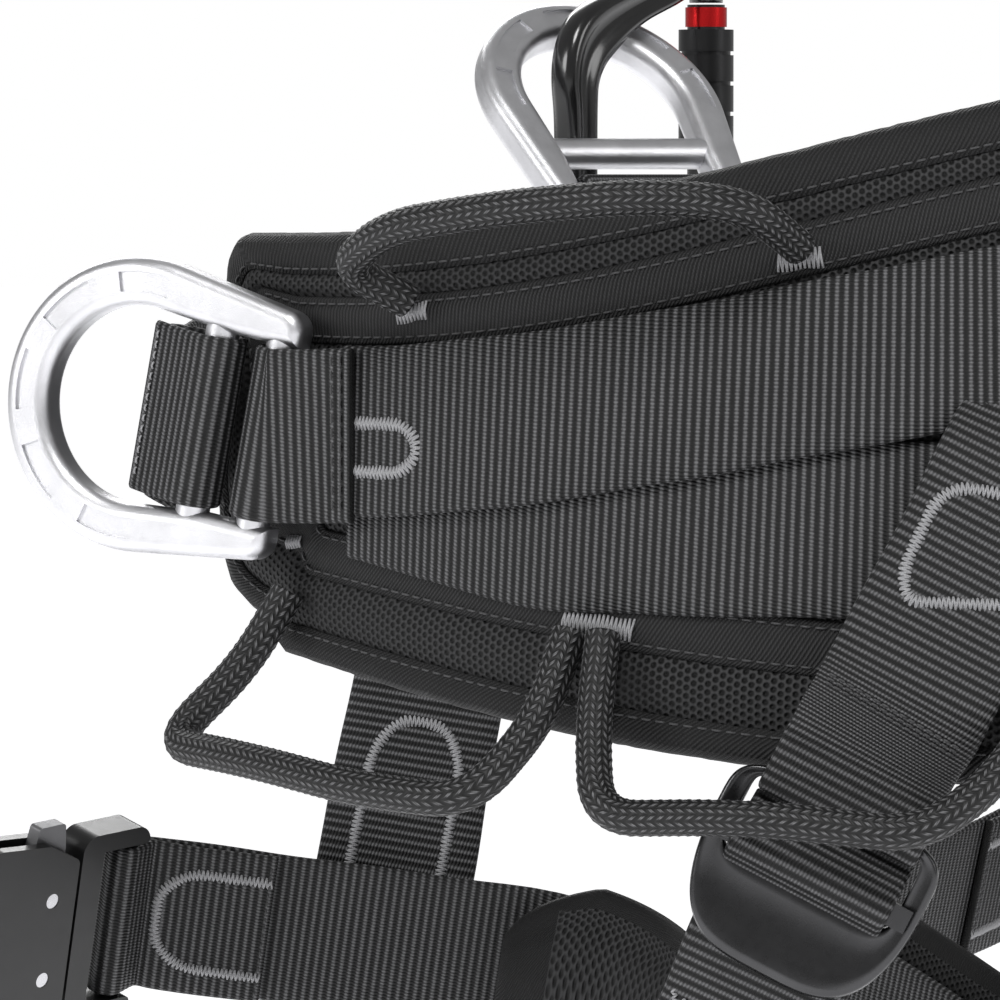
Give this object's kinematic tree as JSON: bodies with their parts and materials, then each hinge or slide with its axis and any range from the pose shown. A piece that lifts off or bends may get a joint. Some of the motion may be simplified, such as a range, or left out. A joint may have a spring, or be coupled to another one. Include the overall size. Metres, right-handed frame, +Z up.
{
  "type": "tree climbing saddle",
  "caption": "Arborist climbing saddle: padded waist belt with forged side and front rings, gear loops, quick buckles and adjustable leg loops",
  "frame": {"origin": "centre of the waist at the height of the side rings", "axes": "+Z up, wearer faces -Y, wearer's left is +X"},
  "size_m": [0.5018, 0.4123, 0.3977],
  "materials": {
    "webbing": "ribbed woven polyester webbing, black with a mid-grey sheen on its ribs",
    "spacer_mesh": "three-dimensional air mesh, black",
    "lining_mesh": "brushed mesh lining, black",
    "foam": "closed-cell foam core, dark grey",
    "binding_tape": "woven binding tape, black",
    "grey_thread": "dense zigzag stitching in light grey thread",
    "braided_cover": "braided sleeve over a stiff core, black and grey",
    "leg_padding": "padded fabric, black",
    "ring_alloy": "forged alloy, satin bead-blasted",
    "black_steel": "black coated steel, glossy with worn edges",
    "black_alloy": "black anodised alloy, satin",
    "grey_lever": "dark grey anodised alloy",
    "screw_steel": "bright steel with hexagon socket",
    "carabiner_alloy": "black anodised alloy, polished",
    "sleeve_alloy": "black anodised knurled alloy",
    "red_ring": "red anodised alloy"
  },
  "bodies": {
    "waist_belt": {"pad_inner_lining": "lining_mesh", "pad_foam_core": "foam", "pad_outer_shell": "spacer_mesh", "pad_edge_binding": "binding_tape", "lower_belt_webbing": "webbing", "upper_belt_webbing": "webbing", "belt_bar_tacks": "grey_thread", "left_rear_ring_loop": "webbing", "right_rear_ring_loop": "webbing", "left_rear_lifter_upper": "webbing", "right_rear_lifter_upper": "webbing", "front_ring_webbing_loop": "webbing", "left_front_belt": "webbing", "right_front_belt": "webbing", "waist_buckle_male": "black_alloy"},
    "left_ring": {"left_side_ring": "ring_alloy", "left_front_ring_loop": "webbing"},
    "right_ring": {"right_side_ring": "ring_alloy", "right_front_ring_loop": "webbing"},
    "front_ring": {"front_ring": "ring_alloy"},
    "carabiner": {"carabiner_body": "carabiner_alloy", "carabiner_gate_pin": "screw_steel"},
    "carabiner_gate": {"carabiner_gate": "carabiner_alloy", "carabiner_lock_ring": "red_ring"},
    "carabiner_sleeve": {"carabiner_sleeve": "sleeve_alloy"},
    "left_upper_gear_loop": {"left_upper_gear_loop": "braided_cover"},
    "right_upper_gear_loop": {"right_upper_gear_loop": "braided_cover"},
    "left_front_gear_loop": {"left_front_gear_loop": "braided_cover"},
    "right_front_gear_loop": {"right_front_gear_loop": "braided_cover"},
    "left_rear_gear_loop": {"left_rear_gear_loop": "braided_cover"},
    "right_rear_gear_loop": {"right_rear_gear_loop": "braided_cover"},
    "left_leg": {"left_leg_strap": "webbing", "left_leg_pad": "leg_padding", "left_leg_buckle_male": "black_alloy", "left_front_lifter": "webbing", "left_adjuster_frame": "black_steel", "left_rear_lifter_lower": "webbing"},
    "left_leg_buckle": {"left_leg_buckle_female": "black_alloy", "left_leg_buckle_screws": "screw_steel", "left_leg_buckle_strap_end": "webbing"},
    "left_leg_upper_lever": {"left_leg_buckle_upper_lever": "grey_lever"},
    "left_leg_lower_lever": {"left_leg_buckle_lower_lever": "grey_lever"},
    "left_slide_bar": {"left_adjuster_slide_bar": "black_steel"},
    "right_leg": {"right_leg_strap": "webbing", "right_leg_pad": "leg_padding", "right_leg_buckle_male": "black_alloy", "right_front_lifter": "webbing", "right_adjuster_frame": "black_steel", "right_rear_lifter_lower": "webbing"},
    "right_leg_buckle": {"right_leg_buckle_female": "black_alloy", "right_leg_buckle_screws": "screw_steel", "right_leg_buckle_strap_end": "webbing"},
    "right_leg_upper_lever": {"right_leg_buckle_upper_lever": "grey_lever"},
    "right_leg_lower_lever": {"right_leg_buckle_lower_lever": "grey_lever"},
    "right_slide_bar": {"right_adjuster_slide_bar": "black_steel"},
    "waist_buckle": {"waist_buckle_female": "black_alloy", "waist_buckle_screws": "screw_steel", "waist_buckle_strap_end": "webbing"},
    "waist_upper_lever": {"waist_buckle_upper_lever": "grey_lever"},
    "waist_lower_lever": {"waist_buckle_lower_lever": "grey_lever"}
  },
  "joints": [
    {"name": "left_ring_swing", "type": "hinge", "parent": "waist_belt", "child": "left_ring", "pos_m": [0.2035, -0.025, 0.003], "axis": [0.1067, -0.1582, -0.9816], "range_deg": [-12, 12]},
    {"name": "right_ring_swing", "type": "hinge", "parent": "waist_belt", "child": "right_ring", "pos_m": [-0.2035, -0.025, 0.003], "axis": [0.1067, 0.1582, 0.9816], "range_deg": [-12, 12]},
    {"name": "front_ring_swing", "type": "hinge", "parent": "waist_belt", "child": "front_ring", "pos_m": [0, -0.17127, 0.06327], "axis": [1, 0, 0], "range_deg": [-8, 26]},
    {"name": "carabiner_swing", "type": "hinge", "parent": "front_ring", "child": "carabiner", "pos_m": [-0.022, -0.212, 0.113], "axis": [1, 0, 0], "range_deg": [-26, 8]},
    {"name": "gate_swing", "type": "hinge", "parent": "carabiner", "child": "carabiner_gate", "pos_m": [-0.051, -0.223, 0.047], "axis": [-0.3262, 0.9453, 0], "range_deg": [0, 9], "stiffness_Nm_per_rad": 0.05, "springref_deg": -2.86},
    {"name": "sleeve_slide", "type": "slide", "parent": "carabiner_gate", "child": "carabiner_sleeve", "axis": [0, 0, 1], "range_m": [-0.012, 0], "stiffness_N_per_m": 60, "springref_m": 0.012},
    {"name": "left_upper_gear_loop_flex", "type": "hinge", "parent": "waist_belt", "child": "left_upper_gear_loop", "pos_m": [0.15235, 0.05788, 0.045], "axis": [-0.6086, 0.7826, 0.1307], "range_deg": [-4, 12], "stiffness_Nm_per_rad": 0.4},
    {"name": "right_upper_gear_loop_flex", "type": "hinge", "parent": "waist_belt", "child": "right_upper_gear_loop", "pos_m": [-0.15235, 0.05788, 0.045], "axis": [-0.6086, -0.7826, -0.1307], "range_deg": [-4, 12], "stiffness_Nm_per_rad": 0.4},
    {"name": "left_front_gear_loop_flex", "type": "hinge", "parent": "waist_belt", "child": "left_front_gear_loop", "pos_m": [0.18257, 0.0215, -0.0415], "axis": [0.327, -0.9422, 0.0729], "range_deg": [-4, 12], "stiffness_Nm_per_rad": 0.4},
    {"name": "right_front_gear_loop_flex", "type": "hinge", "parent": "waist_belt", "child": "right_front_gear_loop", "pos_m": [-0.18257, 0.0215, -0.0415], "axis": [0.327, 0.9422, -0.0729], "range_deg": [-4, 12], "stiffness_Nm_per_rad": 0.4},
    {"name": "left_rear_gear_loop_flex", "type": "hinge", "parent": "waist_belt", "child": "left_rear_gear_loop", "pos_m": [0.12125, 0.11615, -0.0505], "axis": [0.6993, -0.7086, 0.0944], "range_deg": [-4, 12], "stiffness_Nm_per_rad": 0.4},
    {"name": "right_rear_gear_loop_flex", "type": "hinge", "parent": "waist_belt", "child": "right_rear_gear_loop", "pos_m": [-0.12125, 0.11615, -0.0505], "axis": [0.6993, 0.7086, -0.0944], "range_deg": [-4, 12], "stiffness_Nm_per_rad": 0.4},
    {"name": "left_leg_swing", "type": "hinge", "parent": "waist_belt", "child": "left_leg", "pos_m": [0.062, -0.165, 0.002], "axis": [-0.2021, -0.9398, 0.2754], "range_deg": [-3, 8]},
    {"name": "right_leg_swing", "type": "hinge", "parent": "waist_belt", "child": "right_leg", "pos_m": [-0.062, -0.165, 0.002], "axis": [-0.2021, 0.9398, -0.2754], "range_deg": [-3, 8]},
    {"name": "left_leg_buckle_release", "type": "slide", "parent": "left_leg", "child": "left_leg_buckle", "axis": [0.9643, 0.2453, -0.1002], "range_m": [0, 0.02]},
    {"name": "right_leg_buckle_release", "type": "slide", "parent": "right_leg", "child": "right_leg_buckle", "axis": [-0.9643, 0.2453, -0.1002], "range_m": [0, 0.02]},
    {"name": "left_leg_upper_lever_press", "type": "hinge", "parent": "left_leg_buckle", "child": "left_leg_upper_lever", "pos_m": [0.18882, -0.19383, -0.15345], "axis": [-0.2643, 0.9174, -0.2975], "range_deg": [0, 8], "stiffness_Nm_per_rad": 0.05, "springref_deg": -2.86},
    {"name": "right_leg_upper_lever_press", "type": "hinge", "parent": "right_leg_buckle", "child": "right_leg_upper_lever", "pos_m": [-0.18882, -0.19383, -0.15345], "axis": [-0.2643, -0.9174, 0.2975], "range_deg": [0, 8], "stiffness_Nm_per_rad": 0.05, "springref_deg": -2.86},
    {"name": "left_leg_lower_lever_press", "type": "hinge", "parent": "left_leg_buckle", "child": "left_leg_lower_lever", "pos_m": [0.18928, -0.18631, -0.13067], "axis": [0.2643, -0.9174, 0.2975], "range_deg": [0, 8], "stiffness_Nm_per_rad": 0.05, "springref_deg": -2.86},
    {"name": "right_leg_lower_lever_press", "type": "hinge", "parent": "right_leg_buckle", "child": "right_leg_lower_lever", "pos_m": [-0.18928, -0.18631, -0.13067], "axis": [0.2643, 0.9174, -0.2975], "range_deg": [0, 8], "stiffness_Nm_per_rad": 0.05, "springref_deg": -2.86},
    {"name": "waist_buckle_release", "type": "slide", "parent": "waist_belt", "child": "waist_buckle", "axis": [-0.973, 0.2308, 0], "range_m": [0, 0.02]},
    {"name": "waist_upper_lever_press", "type": "hinge", "parent": "waist_buckle", "child": "waist_upper_lever", "pos_m": [-0.12168, -0.15296, 0.036], "axis": [0.2308, 0.973, 0], "range_deg": [0, 8], "stiffness_Nm_per_rad": 0.05, "springref_deg": -2.86},
    {"name": "waist_lower_lever_press", "type": "hinge", "parent": "waist_buckle", "child": "waist_lower_lever", "pos_m": [-0.12168, -0.15296, 0.012], "axis": [-0.2308, -0.973, 0], "range_deg": [0, 8], "stiffness_Nm_per_rad": 0.05, "springref_deg": -2.86},
    {"name": "left_slide_bar_travel", "type": "slide", "parent": "left_leg", "child": "left_slide_bar", "axis": [0.3506, -0.2884, -0.891], "range_m": [0, 0.0025]},
    {"name": "right_slide_bar_travel", "type": "slide", "parent": "right_leg", "child": "right_slide_bar", "axis": [-0.3506, -0.2884, -0.891], "range_m": [0, 0.0025]}
  ],
  "couplings": [
    {"joint": "carabiner_swing", "follows": "front_ring_swing", "ratio": -1}
  ]
}
